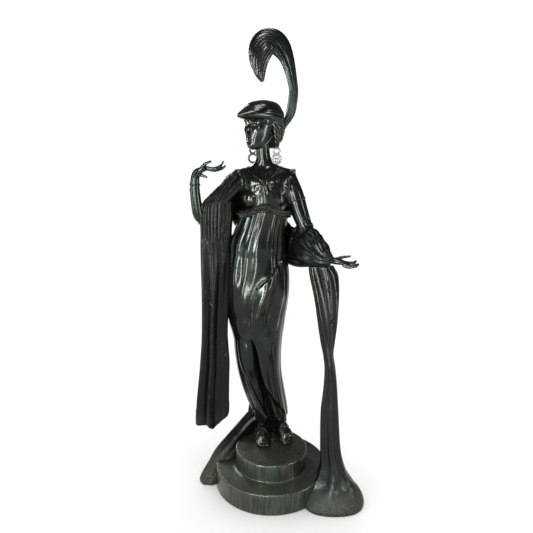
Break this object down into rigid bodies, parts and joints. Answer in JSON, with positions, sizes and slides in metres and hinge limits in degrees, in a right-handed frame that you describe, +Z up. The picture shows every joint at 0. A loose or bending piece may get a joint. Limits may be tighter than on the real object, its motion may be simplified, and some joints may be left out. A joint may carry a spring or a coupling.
{
  "type": "art deco bronze lady statue",
  "caption": "Art deco bronze lady in a plumed cap and long gown, a shawl trailing from both arms to the floor, standing on a stepped round plinth.",
  "frame": {"origin": "centre of the plinth's underside, on the ground", "axes": "+Z up, -Y towards the front, -X the lady's right"},
  "size_m": [0.7689, 0.5327, 2.0549],
  "materials": {
    "lady": "green-black patinated bronze, waxed to a gloss",
    "plinth": "green-black patinated bronze, satin",
    "right_earring": "bright white metal",
    "left_earring": "bright white metal"
  },
  "bodies": {
    "root": {"lady": "lady", "plinth": "plinth", "right_earring": "right_earring", "left_earring": "left_earring"}
  },
  "joints": []
}
